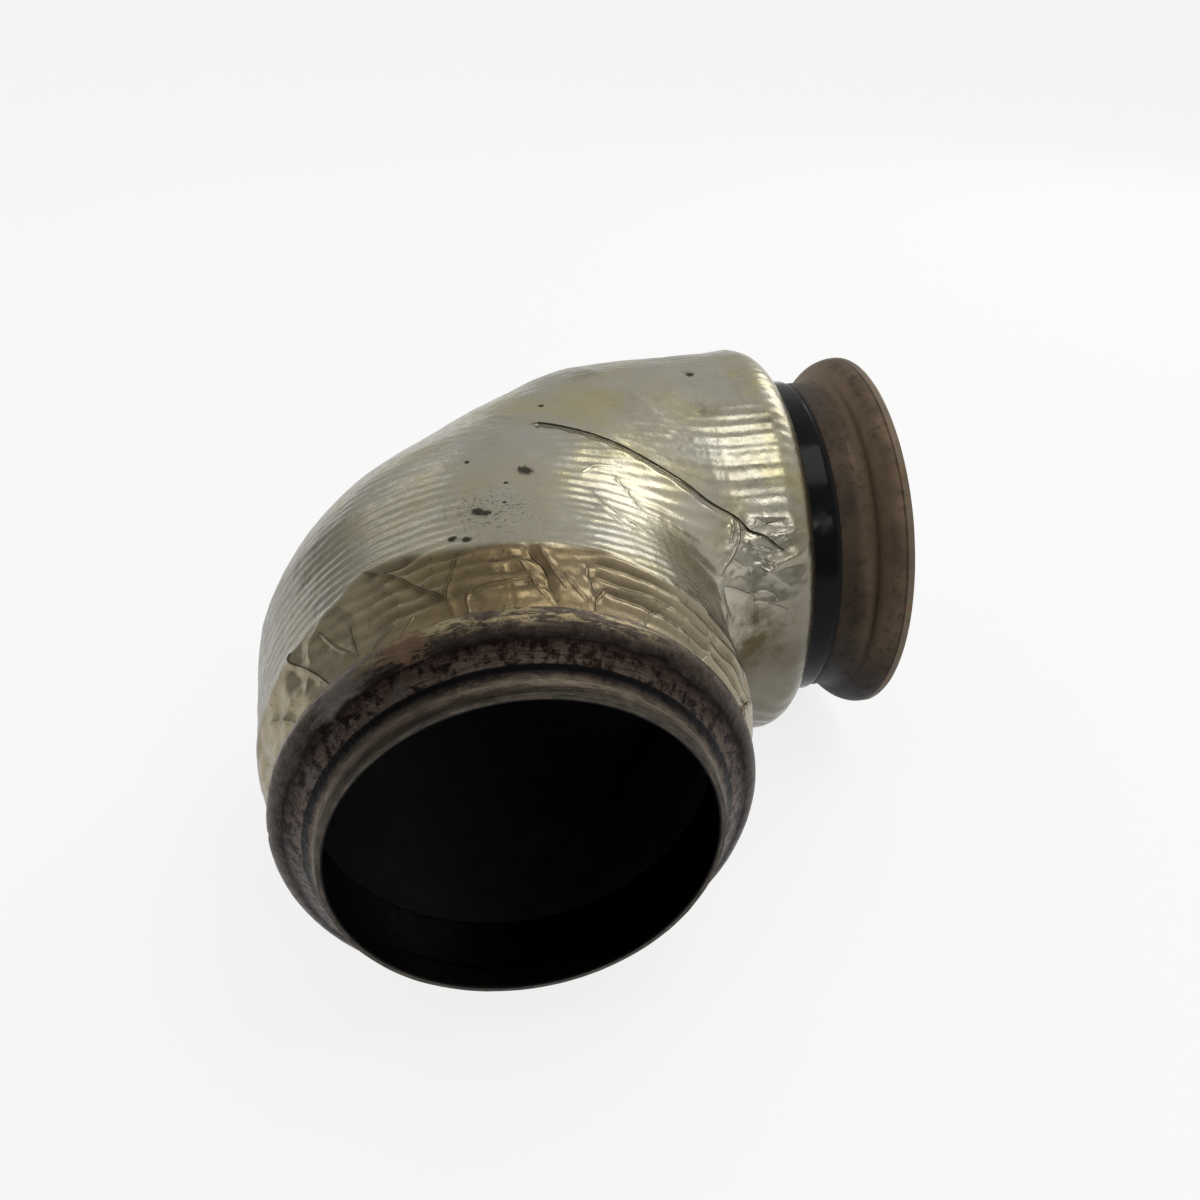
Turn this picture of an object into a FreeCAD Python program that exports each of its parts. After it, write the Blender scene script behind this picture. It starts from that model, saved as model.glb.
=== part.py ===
"""Insulated exhaust elbow: a bent tube with a clamp flange on each end, wrapped in embossed foil.

The origin is the centre of the inlet's mouth. Gas runs in along +Y, turns a quarter circle and
leaves along +X. +Z is up, and the elbow lies on its side, so both ends of it are level.
"""
import FreeCAD, Part
import math
import os
import Sketcher

Vector = FreeCAD.Vector
Y_AXIS = Vector(0, 1, 0)
Z_AXIS = Vector(0, 0, 1)

# Driving dimensions in millimetres and degrees: name, value, what it is
DIMENSIONS = (
    ("tube_dia", 127.0, "outside diameter of the tube"),
    ("tube_wall", 1.65, "wall of the tube"),
    ("bend_radius", 91.0, "bend radius on the tube's centreline"),
    ("inlet_reach", 71.0, "mouth of the inlet to the start of the bend"),
    ("outlet_reach", 63.0, "end of the bend to the face of the outlet"),
    ("rim_rise", 9.0, "height of either flange's rim over the tube"),
    ("rim_land", 2.5, "width of the rim's cylindrical edge"),
    ("rim_back_rise", 3.4, "length of the sloped back of the inlet's rim"),
    ("lip_length", 4.5, "straight length of the lip around the inlet's mouth"),
    ("lip_wall", 2.3, "wall of that lip"),
    ("mouth_inset", 5.45, "how far the mouth's bore stands in from the tube's, on the radius"),
    ("mouth_length", 7.0, "length of the mouth's bore"),
    ("bore_step", 2.0, "step out behind the mouth's bore, on the radius"),
    ("bore_flare", 6.0, "length over which the bore then opens to the tube's"),
    ("seat_length", 8.4, "length of the sloped seat in front of the inlet's rim"),
    ("inlet_shoulder_radius", 7.0, "rounding between the seat and the rim"),
    ("inlet_shoulder_run", 4.55, "length of that rounding along the axis"),
    ("inlet_shoulder_rise", 4.9, "rise of that rounding, on the radius"),
    ("inlet_neck", 7.0, "straight neck behind the inlet's rim, up to the weld"),
    ("outlet_flare", 14.0, "length of the outlet's flare, from its rim to the tube"),
    ("outlet_neck", 8.0, "straight neck behind the outlet's flare, up to the weld"),
    ("outlet_neck_round", 5.0, "hollow rounding at the root of the flare"),
    ("outlet_rim_round", 11.0, "full rounding below the outlet's rim"),
    ("outlet_rim_round_run", 8.7, "length of that full rounding along the axis"),
    ("outlet_rim_round_drop", 5.6, "drop of that full rounding, on the radius"),
    ("outlet_inset", 0.65, "how far the outlet's bore stands in from the tube's, on the radius"),
    ("outlet_seat_depth", 7.0, "depth of the sloped seat inside the outlet"),
    ("outlet_seat_wall", 3.0, "width of the flat face around that seat"),
    ("mat_thickness", 14.1, "thickness of the insulation between the tube and the foil"),
    ("foil", 1.2, "thickness of the embossed foil over its ribs"),
    ("jacket_neck", 23.15, "length of the jacket's neck, from its edge at the rim to the fold"),
    ("neck_foot_rise", 6.8, "height of the jacket over the tube where it meets the inlet's rim"),
    ("neck_foot_gap", 2.4, "gap between the inlet's rim and the jacket's edge"),
    ("turn_in_run", 12.5, "length over which the jacket's outlet end turns in"),
    ("turn_in_rise", 6.3, "height of the turned-in end over the tube"),
    ("jacket_overhang", 1.2, "how far that end reaches over the black band"),
    ("mat_end_gap", 0.4, "gap between the insulation and the black band"),
    ("mat_gap", 0.5, "gap between the insulation and the inlet flange"),
    ("band_width", 12.0, "width of the black band"),
    ("band_thickness", 1.1, "thickness of the black band"),
    ("band_gap", 1.7, "gap between the black band and the outlet flange"),
    ("pleat_height", 1.2, "how far a pleat of the jacket's neck stands out"),
    ("pleat_arc", 3.0, "width of a pleat, in degrees round the neck"),
    ("dart_width", 9.0, "width of the dart's overlap where it reaches the outlet end"),
    ("dart_tip_width", 1.5, "width of that overlap where it starts"),
    ("dart_height", 0.8, "how far the overlap stands out"),
    ("dart_start_turn", 38.0, "degrees round the bend where the dart starts"),
    ("dart_start_angle", 87.0, "degrees over the section there, from the inside of the bend"),
    ("dart_middle_turn", 65.0, "degrees round the bend at the middle of the dart"),
    ("dart_middle_angle", 48.0, "degrees over the section there"),
    ("dart_end_angle", 29.0, "degrees over the section at the dart's outlet end"),
)

# Where the neck's pleats lie, in degrees round the inlet from its +X side over the top
PLEAT_ANGLES = (8, 27, 48, 62, 70, 84, 104, 118, 131, 149, 168, 196, 224, 252, 281, 306, 333)

# The strip that cuts the dart out is this share of the jacket's radius deep on each side, which
# takes in its curve and stays off the far side of the section, and it runs on past the dart's end
STRIP_DEPTH_SHARE = 1 / 3
STRIP_RUN_ON = 1.1

doc = FreeCAD.newDocument("ExhaustElbow")
sheet = doc.addObject("Spreadsheet::Sheet", "Sizes")
sheet.set("A1", "name")
sheet.set("B1", "value")
sheet.set("C1", "meaning")
for row, (name, value, meaning) in enumerate(DIMENSIONS, start=2):
    sheet.set(f"A{row}", name)
    sheet.set(f"B{row}", str(value))
    sheet.set(f"C{row}", meaning)
    sheet.setAlias(f"B{row}", name)
doc.recompute()


def value_of(expression):
    """The number that a sheet expression has now."""
    return float(sheet.evalExpression(expression))


def size(name):
    """How an expression names one cell of the sheet."""
    return f"Sizes.{name}"


TUBE_R = f"{size('tube_dia')} / 2"
TUBE_BORE_R = f"({TUBE_R} - {size('tube_wall')})"
RIM_R = f"({TUBE_R} + {size('rim_rise')})"
MOUTH_R = f"({TUBE_BORE_R} - {size('mouth_inset')})"
JACKET_IN_R = f"({TUBE_R} + {size('mat_thickness')})"
JACKET_R = f"({JACKET_IN_R} + {size('foil')})"
NECK_FOOT_R = f"({TUBE_R} + {size('neck_foot_rise')})"
OUTLET_AXIS_Y = f"({size('inlet_reach')} + {size('bend_radius')})"
OUTLET_FACE_X = f"({size('bend_radius')} + {size('outlet_reach')})"
SEAT_END = f"({size('lip_length')} + {size('seat_length')})"
RIM_FRONT = f"({SEAT_END} + {size('inlet_shoulder_run')})"
RIM_BACK = f"({RIM_FRONT} + {size('rim_land')})"
INLET_NECK_START = f"({RIM_BACK} + {size('rim_back_rise')})"
INLET_WELD = f"({INLET_NECK_START} + {size('inlet_neck')})"
OUTLET_RIM_BACK_X = f"({OUTLET_FACE_X} - {size('rim_land')})"
OUTLET_ROOT_X = f"({OUTLET_RIM_BACK_X} - {size('outlet_flare')})"
OUTLET_WELD_X = f"({OUTLET_ROOT_X} - {size('outlet_neck')})"
BAND_FRONT_X = f"({OUTLET_WELD_X} - {size('band_gap')})"
BAND_BACK_X = f"({BAND_FRONT_X} - {size('band_width')})"
JACKET_FOOT = f"({RIM_BACK} + {size('neck_foot_gap')})"
CREST = f"({JACKET_FOOT} + {size('jacket_neck')})"
JACKET_END_X = f"({BAND_BACK_X} + {size('jacket_overhang')})"
TURN_IN_X = f"({JACKET_END_X} - {size('turn_in_run')})"
TURN_IN_DROP = f"({JACKET_R} - {TUBE_R} - {size('turn_in_rise')})"
TURN_IN_RADIUS = f"(({size('turn_in_run')} ^ 2 + {TURN_IN_DROP} ^ 2) / (2 * {TURN_IN_DROP}))"


def new_body(label):
    body = doc.addObject("PartDesign::Body", label)
    body.Label = label
    return body


def origin_plane(body, role):
    return next(item for item in body.Origin.OriginFeatures if item.Role == role)


def new_sketch(body, name, role):
    sketch = body.newObject("Sketcher::SketchObject", name)
    sketch.AttachmentSupport = [(origin_plane(body, role), "")]
    sketch.MapMode = "FlatFace"
    return sketch


def pin_point(sketch, geometry, end, across, along):
    """Hold one end of a sketch line or arc at a place that two sheet expressions give."""
    for kind, expression in (("DistanceX", across), ("DistanceY", along)):
        place = value_of(expression)
        index = sketch.addConstraint(Sketcher.Constraint(kind, -1, 1, geometry, end, place))
        sketch.setExpression(f"Constraints[{index}]", expression)


def arc_between(start, end, radius, turn):
    """The arc of a radius from start to end, turning left (+1) or right (-1)."""
    chord = end - start
    left = Vector(-chord.y, chord.x, 0).normalize()
    rise = math.sqrt(radius ** 2 - (chord.Length / 2) ** 2)
    centre = (start + end) / 2 + left * (rise * turn)
    first, last = (start, end) if turn > 0 else (end, start)
    begin = math.atan2(first.y - centre.y, first.x - centre.x)
    finish = math.atan2(last.y - centre.y, last.x - centre.x)
    circle = Part.Circle(centre, Z_AXIS, radius)
    return Part.ArcOfCircle(circle, begin, finish if finish > begin else finish + 2 * math.pi)


def draw_outline(sketch, corners):
    """Close an outline through corners (across, along, radius, turn) that sheet expressions place.

    A corner with a radius starts an arc to the next corner, and any other starts a line.
    """
    points = [Vector(value_of(across), value_of(along), 0) for across, along, *_ in corners]
    for number, (across, along, *bend) in enumerate(corners):
        start = points[number]
        end = points[(number + 1) % len(points)]
        if bend:
            radius, turn = bend
            geometry = sketch.addGeometry(arc_between(start, end, value_of(radius), turn))
            index = sketch.addConstraint(Sketcher.Constraint("Radius", geometry, value_of(radius)))
            sketch.setExpression(f"Constraints[{index}]", radius)
            start_end, far_end = (1, 2) if turn > 0 else (2, 1)
        else:
            geometry = sketch.addGeometry(Part.LineSegment(start, end))
            start_end, far_end = 1, 2
        pin_point(sketch, geometry, start_end, across, along)
        if number:
            sketch.addConstraint(
                Sketcher.Constraint("Coincident", geometry - 1, previous_end, geometry, start_end))
        else:
            first_start = start_end
        previous_end = far_end
    last = len(corners) - 1
    sketch.addConstraint(Sketcher.Constraint("Coincident", last, previous_end, 0, first_start))


def draw_circle(sketch, radius):
    circle = Part.Circle(Vector(0, 0, 0), Z_AXIS, value_of(radius))
    geometry = sketch.addGeometry(circle)
    sketch.addConstraint(Sketcher.Constraint("Coincident", geometry, 3, -1, 1))
    index = sketch.addConstraint(Sketcher.Constraint("Radius", geometry, value_of(radius)))
    sketch.setExpression(f"Constraints[{index}]", radius)


def revolve(body, name, sketch, axis):
    turned = body.newObject("PartDesign::Revolution", name)
    turned.Profile = sketch
    turned.ReferenceAxis = (sketch, [axis])
    turned.Angle = 360
    sketch.Visibility = False
    return turned


def draw_centreline(sketch, start_y, end_x):
    """The elbow's centreline: straight in, a quarter bend, straight out."""
    bend = value_of(size("bend_radius"))
    turn_y = value_of(size("inlet_reach"))
    turn_start = Vector(0, turn_y, 0)
    turn_end = Vector(bend, turn_y + bend, 0)
    inlet = sketch.addGeometry(Part.LineSegment(Vector(0, value_of(start_y), 0), turn_start))
    circle = Part.Circle(Vector(bend, turn_y, 0), Z_AXIS, bend)
    arc = sketch.addGeometry(Part.ArcOfCircle(circle, math.pi / 2, math.pi))
    outlet = sketch.addGeometry(Part.LineSegment(turn_end, Vector(value_of(end_x), turn_end.y, 0)))
    for point in (1, 2):
        sketch.addConstraint(Sketcher.Constraint("PointOnObject", inlet, point, -2))
    sketch.addConstraint(Sketcher.Constraint("Tangent", inlet, 2, arc, 2))
    sketch.addConstraint(Sketcher.Constraint("Tangent", arc, 1, outlet, 1))
    sketch.addConstraint(Sketcher.Constraint("Horizontal", outlet))
    places = (
        ("DistanceY", inlet, 1, start_y),
        ("DistanceY", inlet, 2, size("inlet_reach")),
        ("DistanceX", outlet, 2, end_x),
    )
    for kind, geometry, end, expression in places:
        index = sketch.addConstraint(
            Sketcher.Constraint(kind, -1, 1, geometry, end, value_of(expression)))
        sketch.setExpression(f"Constraints[{index}]", expression)
    index = sketch.addConstraint(Sketcher.Constraint("Radius", arc, bend))
    sketch.setExpression(f"Constraints[{index}]", size("bend_radius"))


# Each swept ring starts on the side away from the bend's centre, so its seam runs down the outside
SEAM_OUTSIDE = FreeCAD.Rotation(Z_AXIS, 180)


def sweep_round(body, start_y, end_x, outer_r, inner_r):
    """Carry a ring of two radii along the centreline from start_y on the inlet to end_x."""
    ring = new_sketch(body, f"{body.Label}_ring", "XZ_Plane")
    ring.AttachmentOffset = FreeCAD.Placement(Vector(), SEAM_OUTSIDE)
    ring.setExpression("AttachmentOffset.Base.z", f"-{start_y}")
    draw_circle(ring, outer_r)
    draw_circle(ring, inner_r)
    path = new_sketch(body, f"{body.Label}_path", "XY_Plane")
    draw_centreline(path, start_y, end_x)
    doc.recompute()
    pipe = body.newObject("PartDesign::AdditivePipe", f"{body.Label}_sweep")
    pipe.Profile = ring
    pipe.Spine = path
    ring.Visibility = False
    path.Visibility = False
    return pipe


def turned_on_outlet(body, name, corners):
    """Turn an outline round the outlet's axis. Its corners give x and the distance off the axis."""
    sketch = new_sketch(body, name, "XY_Plane")
    sketch.setExpression("AttachmentOffset.Base.y", OUTLET_AXIS_Y)
    draw_outline(sketch, corners)
    return revolve(body, f"{name}_turned", sketch, "H_Axis")


def turned_on_inlet(body, name, corners):
    """Turn an outline round the inlet's axis. Its corners give the radius and y."""
    sketch = new_sketch(body, name, "XY_Plane")
    draw_outline(sketch, corners)
    return revolve(body, f"{name}_turned", sketch, "V_Axis")


def make_elbow_pipe():
    body = new_body("elbow_pipe")
    sweep_round(body, INLET_WELD, OUTLET_WELD_X, TUBE_R, TUBE_BORE_R)
    return body


def make_inlet_flange():
    """Lip, sloped seat, rounded rim, sloped back and neck, bored with a step behind the mouth."""
    body = new_body("inlet_flange")
    lip_r = f"({MOUTH_R} + {size('lip_wall')})"
    step_r = f"({MOUTH_R} + {size('bore_step')})"
    seat_end_r = f"({RIM_R} - {size('inlet_shoulder_rise')})"
    flare_end = f"({size('mouth_length')} + {size('bore_flare')})"
    turned_on_inlet(body, "inlet_profile", (
        (MOUTH_R, "0"),
        (lip_r, "0"),
        (lip_r, size("lip_length")),
        (seat_end_r, SEAT_END, size("inlet_shoulder_radius"), 1),
        (RIM_R, RIM_FRONT),
        (RIM_R, RIM_BACK),
        (TUBE_R, INLET_NECK_START),
        (TUBE_R, INLET_WELD),
        (TUBE_BORE_R, INLET_WELD),
        (TUBE_BORE_R, flare_end),
        (step_r, size("mouth_length")),
        (MOUTH_R, size("mouth_length")),
    ))
    return body


def make_outlet_flange():
    """Rim with a flat face, a flare down to the neck, and a sloped seat inside the mouth."""
    body = new_body("outlet_flange")
    middle_x = f"({OUTLET_RIM_BACK_X} - {size('outlet_rim_round_run')})"
    middle_r = f"({RIM_R} - {size('outlet_rim_round_drop')})"
    bore_r = f"({TUBE_BORE_R} - {size('outlet_inset')})"
    turned_on_outlet(body, "outlet_profile", (
        (OUTLET_WELD_X, bore_r),
        (f"({OUTLET_FACE_X} - {size('outlet_seat_depth')})", bore_r),
        (OUTLET_FACE_X, f"({RIM_R} - {size('outlet_seat_wall')})"),
        (OUTLET_FACE_X, RIM_R),
        (OUTLET_RIM_BACK_X, RIM_R, size("outlet_rim_round"), 1),
        (middle_x, middle_r, size("outlet_neck_round"), -1),
        (OUTLET_ROOT_X, TUBE_R),
        (OUTLET_WELD_X, TUBE_R),
    ))
    return body


def make_insulation_mat():
    """The blanket fills the room between the tube and the foil, up to short of both ends."""
    body = new_body("insulation_mat")
    sweep_round(body, CREST, TURN_IN_X, JACKET_IN_R, TUBE_R)
    start = f"({INLET_NECK_START} + {size('mat_gap')})"
    slope = f"(({JACKET_R} - {NECK_FOOT_R}) / {size('jacket_neck')})"
    start_r = f"({NECK_FOOT_R} - {size('foil')} + {slope} * ({start} - {JACKET_FOOT}))"
    turned_on_inlet(body, "mat_neck", (
        (TUBE_R, start),
        (start_r, start),
        (JACKET_IN_R, CREST),
        (TUBE_R, CREST),
    ))
    end_x = f"({BAND_BACK_X} - {size('mat_end_gap')})"
    run = f"({end_x} - {TURN_IN_X})"
    turn = f"({TURN_IN_RADIUS} - {size('foil')})"
    drop = f"({turn} - sqrt({turn} ^ 2 - {run} ^ 2))"
    turned_on_outlet(body, "mat_end", (
        (TURN_IN_X, TUBE_R),
        (end_x, TUBE_R),
        (end_x, f"({JACKET_IN_R} - {drop})", turn, 1),
        (TURN_IN_X, JACKET_IN_R),
    ))
    return body


def add_pleat(body, number, angle):
    """A fold of foil that lies on the neck, from nothing at the crest to its full height below."""
    sketch = new_sketch(body, f"pleat_{number}", "XY_Plane")
    sketch.AttachmentOffset = FreeCAD.Placement(Vector(), FreeCAD.Rotation(Y_AXIS, -angle))
    half_foil = f"{size('foil')} / 2"
    draw_outline(sketch, (
        (f"({NECK_FOOT_R} - {half_foil})", JACKET_FOOT),
        (f"({NECK_FOOT_R} + {size('pleat_height')})", JACKET_FOOT),
        (JACKET_R, CREST),
        (f"({JACKET_R} - {half_foil})", CREST),
    ))
    pleat = revolve(body, f"pleat_{number}_turned", sketch, "V_Axis")
    pleat.Midplane = True
    pleat.setExpression("Angle", size("pleat_arc"))


def make_foil_tube():
    """The foil round the bend, its pleated neck at the inlet and its turned-in end at the outlet."""
    body = new_body("foil_tube")
    sweep_round(body, CREST, TURN_IN_X, JACKET_R, JACKET_IN_R)
    turned_on_inlet(body, "jacket_neck", (
        (f"({NECK_FOOT_R} - {size('foil')})", JACKET_FOOT),
        (NECK_FOOT_R, JACKET_FOOT),
        (JACKET_R, CREST),
        (JACKET_IN_R, CREST),
    ))
    inner_turn = f"({TURN_IN_RADIUS} - {size('foil')})"
    run = size("turn_in_run")
    level = f"(1 - {TURN_IN_DROP} / {TURN_IN_RADIUS})"
    turned_on_outlet(body, "jacket_end", (
        (TURN_IN_X, JACKET_IN_R, inner_turn, -1),
        (f"({TURN_IN_X} + {inner_turn} * {run} / {TURN_IN_RADIUS})",
         f"({JACKET_R} - {TURN_IN_RADIUS} + {inner_turn} * {level})"),
        (JACKET_END_X, f"({JACKET_R} - {TURN_IN_DROP})", TURN_IN_RADIUS, 1),
        (TURN_IN_X, JACKET_R),
    ))
    for number, angle in enumerate(PLEAT_ANGLES, start=1):
        add_pleat(body, number, angle)
    return body


def on_jacket(turn, angle, past_bend=0.0):
    """A point on the foil: degrees round the bend, degrees over the section, length past the bend."""
    bend = value_of(size("bend_radius"))
    radius = value_of(JACKET_R)
    across = bend - radius * math.cos(math.radians(angle))
    x = bend - across * math.cos(math.radians(turn)) + past_bend
    y = value_of(size("inlet_reach")) + across * math.sin(math.radians(turn))
    return Vector(x, y, radius * math.sin(math.radians(angle)))


def make_dart_overlap():
    """The strip where the foil is folded over itself, cut from a second, outer layer of foil."""
    layer = new_body("dart_layer")
    outer = f"({JACKET_R} + {size('dart_height')})"
    inner = f"({JACKET_R} - {size('foil')} / 2)"
    sweep_round(layer, CREST, TURN_IN_X, outer, inner)
    tip = on_jacket(value_of(size("dart_start_turn")), value_of(size("dart_start_angle")))
    middle = on_jacket(value_of(size("dart_middle_turn")), value_of(size("dart_middle_angle")))
    past = value_of(TURN_IN_X) - value_of(size("bend_radius"))
    end = on_jacket(90, value_of(size("dart_end_angle")), past)
    strip = doc.addObject("Part::Wedge", "dart_strip")
    half_depth = value_of(JACKET_R) * STRIP_DEPTH_SHARE
    ends = (("Xmin", "dart_tip_width", -0.5), ("Xmax", "dart_tip_width", 0.5),
            ("X2min", "dart_width", -0.5), ("X2max", "dart_width", 0.5))
    for side, width, share in ends:
        strip.setExpression(side, f"{size(width)} * {share}")
    strip.Ymin, strip.Ymax = 0, (end - tip).Length * STRIP_RUN_ON
    strip.Zmin, strip.Zmax = -half_depth, half_depth
    strip.Z2min, strip.Z2max = -half_depth, half_depth
    along = (end - tip).normalize()
    across = (middle - tip).cross(end - tip).normalize()
    turned = FreeCAD.Rotation(across, along, across.cross(along), "XYZ")
    strip.Placement = FreeCAD.Placement(tip, turned)
    overlap = doc.addObject("Part::Common", "dart_overlap")
    overlap.Base = layer
    overlap.Tool = strip
    return overlap


def make_foil_jacket():
    jacket = doc.addObject("Part::Fuse", "foil_jacket")
    jacket.Base = make_foil_tube()
    jacket.Tool = make_dart_overlap()
    jacket.Label = "foil_jacket"
    return jacket


def make_retaining_band():
    body = new_body("retaining_band")
    outer = f"({TUBE_R} + {size('band_thickness')})"
    turned_on_outlet(body, "band_profile", (
        (BAND_BACK_X, TUBE_R),
        (BAND_FRONT_X, TUBE_R),
        (BAND_FRONT_X, outer),
        (BAND_BACK_X, outer),
    ))
    return body


pieces = [
    make_elbow_pipe(),
    make_inlet_flange(),
    make_outlet_flange(),
    make_insulation_mat(),
    make_foil_jacket(),
    make_retaining_band(),
]
doc.recompute()

for item in doc.Objects:
    if "Invalid" in item.State or "Error" in item.State:
        raise RuntimeError(f"{item.Label} did not build")
for piece in pieces:
    if piece.Shape.isNull() or not piece.Shape.isValid():
        raise RuntimeError(f"{piece.Label} has no sound shape")

os.makedirs("parts", exist_ok=True)
for piece in pieces:
    piece.Shape.exportStep(f"parts/{piece.Label}.step")
    box = piece.Shape.optimalBoundingBox(False)
    print(f"{piece.Label}: {len(piece.Shape.Solids)} solid, {piece.Shape.Volume / 1000:.1f} cm3,"
          f" x {box.XMin:.1f} to {box.XMax:.1f}, y {box.YMin:.1f} to {box.YMax:.1f},"
          f" z {box.ZMin:.1f} to {box.ZMax:.1f}")
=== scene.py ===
"""Looks of an insulated exhaust elbow: embossed foil, two heat-stained flanges and a black band.

Lengths are in millimetres up to the moment a mesh is made. A place on the foil is a station, the
length along the elbow's centreline from the start of the bend, and an angle over the section, 0 on
the inside of the bend, 90 on top and 180 on the outside.
"""
import math

import bpy
import numpy as np
from mathutils import Matrix, Vector


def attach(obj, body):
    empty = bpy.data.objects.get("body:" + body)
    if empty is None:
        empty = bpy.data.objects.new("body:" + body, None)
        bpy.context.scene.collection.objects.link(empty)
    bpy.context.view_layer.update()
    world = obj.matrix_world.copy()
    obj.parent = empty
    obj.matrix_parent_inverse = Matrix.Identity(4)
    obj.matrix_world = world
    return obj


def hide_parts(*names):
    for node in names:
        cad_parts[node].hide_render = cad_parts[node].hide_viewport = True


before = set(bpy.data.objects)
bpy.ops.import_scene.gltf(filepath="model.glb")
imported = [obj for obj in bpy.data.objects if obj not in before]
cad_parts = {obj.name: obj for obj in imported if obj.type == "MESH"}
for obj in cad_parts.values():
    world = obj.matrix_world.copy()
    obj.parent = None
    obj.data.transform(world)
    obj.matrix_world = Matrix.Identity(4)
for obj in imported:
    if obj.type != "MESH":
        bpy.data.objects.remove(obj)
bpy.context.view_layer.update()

MM = 0.001
TUBE_R = 63.5
RIM_R = 72.5
MOUTH_R = 56.4
BEND_R = 91.0
INLET_REACH = 71.0
BEND_LENGTH = BEND_R * math.pi / 2
OUTLET_AXIS_Y = INLET_REACH + BEND_R
JACKET_R = 78.8
JACKET_TOP = JACKET_R + 0.6
FOOT_R = 70.3
FOOT_STATION = -48.65
TURN_IN_STATION = 156.44
TURN_IN_R = 13.18
TURN_IN_RUN = 12.5
JACKET_END = TURN_IN_STATION + TURN_IN_RUN
BLANKET_START = -46.8
BLANKET_END = 167.4
FLOOR_Z = -78.8

# Name, place, target and size in metres, and watts
LAMPS = (
    ("softbox", (0.45, -0.05, 1.25), (0.06, -0.05, 0.0), (0.62, 0.42), 2.5),
    ("back_panel", (-0.45, 1.30, 0.55), (0.06, 0.12, 0.0), (0.7, 0.16), 0.35),
    ("front_strip", (0.43, -0.885, 0.82), (0.09, 0.09, 0.04), (0.30, 0.16), 1.2),
    ("side_panel", (0.95, 0.92, 0.60), (0.06, 0.12, 0.0), (0.55, 0.60), 2.6),
)


# Camera, light and floor

def new_object(name, data):
    thing = bpy.data.objects.new(name, data)
    bpy.context.scene.collection.objects.link(thing)
    return thing


def add_camera():
    """The photo's camera, fitted to the flanges' rims, the tube and the bend."""
    data = bpy.data.cameras.new("camera")
    data.sensor_width = 36.0
    data.lens = 32.49
    data.clip_start = 0.01
    camera = new_object("camera", data)
    right = Vector((0.98487, -0.17330, 0.0))
    up = Vector((0.09558, 0.54316, 0.83417))
    back = Vector((-0.14457, -0.82155, 0.55150))
    place = Vector((-17.04, -216.50, 230.63)) * MM
    turn = Matrix((right, up, back)).transposed().to_4x4()
    camera.matrix_world = Matrix.Translation(place) @ turn
    bpy.context.scene.camera = camera


def add_area_light(name, place, target, size, watts):
    data = bpy.data.lights.new(name, "AREA")
    data.shape = "RECTANGLE"
    data.size, data.size_y = size
    data.energy = watts
    lamp = new_object(name, data)
    lamp.location = place
    lamp.rotation_euler = (Vector(target) - Vector(place)).to_track_quat("-Z", "Y").to_euler()


class Shader:
    """A node tree with short ways to add nodes. Sockets take a value or another node's output."""

    def __init__(self, name, tree=None):
        if tree is None:
            self.material = bpy.data.materials.new(name)
            self.material.use_nodes = True
            tree = self.material.node_tree
        self.tree = tree
        self.tree.nodes.clear()

    def add(self, kind, sockets=None, **settings):
        node = self.tree.nodes.new(kind)
        for name, value in settings.items():
            setattr(node, name, value)
        for key, value in (sockets or {}).items():
            self.put(node.inputs[key], value)
        return node

    def put(self, socket, value):
        if isinstance(value, bpy.types.NodeSocket):
            self.tree.links.new(value, socket)
        else:
            socket.default_value = value

    def millimetres(self):
        coords = self.add("ShaderNodeTexCoord").outputs["Object"]
        return self.add("ShaderNodeVectorMath", {0: coords, "Scale": 1 / MM},
                        operation="SCALE").outputs[0]

    def math(self, operation, a, b=0.0):
        return self.add("ShaderNodeMath", {0: a, 1: b}, operation=operation).outputs[0]

    def times(self, first, *others):
        for other in others:
            first = self.math("MULTIPLY", first, other)
        return first

    def grey(self, value):
        return self.add("ShaderNodeCombineColor", {0: value, 1: value, 2: value}).outputs[0]

    def parts(self, vector):
        return self.add("ShaderNodeSeparateXYZ", {0: vector}).outputs

    def distance(self, place, point):
        return self.add("ShaderNodeVectorMath", {0: place, 1: tuple(point)},
                        operation="DISTANCE").outputs["Value"]

    def noise(self, vector, scale, detail=3.0, roughness=0.55, distortion=0.0):
        node = self.add("ShaderNodeTexNoise", {
            "Vector": vector, "Scale": scale, "Detail": detail,
            "Roughness": roughness, "Distortion": distortion})
        return node.outputs["Fac"]

    def remap(self, value, low, high, new_low=0.0, new_high=1.0):
        node = self.add("ShaderNodeMapRange", {
            "Value": value, "From Min": low, "From Max": high,
            "To Min": new_low, "To Max": new_high}, clamp=True)
        return node.outputs[0]

    def mix(self, share, first, second, blend="MIX"):
        node = self.add("ShaderNodeMix", data_type="RGBA", blend_type=blend, clamp_factor=True)
        for index, value in ((0, share), (6, first), (7, second)):
            self.put(node.inputs[index], value)
        return node.outputs[2]

    def cover(self, base, colour, *shares):
        """The base under another colour, as far as the product of the shares."""
        return self.mix(self.times(*shares), base, colour)

    def mark(self, name):
        return self.add("ShaderNodeAttribute", attribute_name=name).outputs["Fac"]

    def ramp(self, value, stops):
        node = self.add("ShaderNodeValToRGB", {"Fac": value})
        ends = node.color_ramp.elements
        while len(ends) < len(stops):
            ends.new(0.5)
        for element, (place, colour) in zip(ends, stops):
            element.position = place
            element.color = colour
        return node.outputs["Color"]

    def bump(self, height, distance, strength=1.0, normal=None):
        sockets = {"Height": height, "Distance": distance, "Strength": strength}
        if normal is not None:
            sockets["Normal"] = normal
        return self.add("ShaderNodeBump", sockets).outputs["Normal"]

    def finish(self, **sockets):
        names = {name.replace("_", " ").title().replace("Ior", "IOR"): value
                 for name, value in sockets.items()}
        surface = self.add("ShaderNodeBsdfPrincipled", names)
        self.add("ShaderNodeOutputMaterial", {"Surface": surface.outputs[0]})
        return self.material


def rgb(red, green, blue):
    return (red, green, blue, 1.0)


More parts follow.
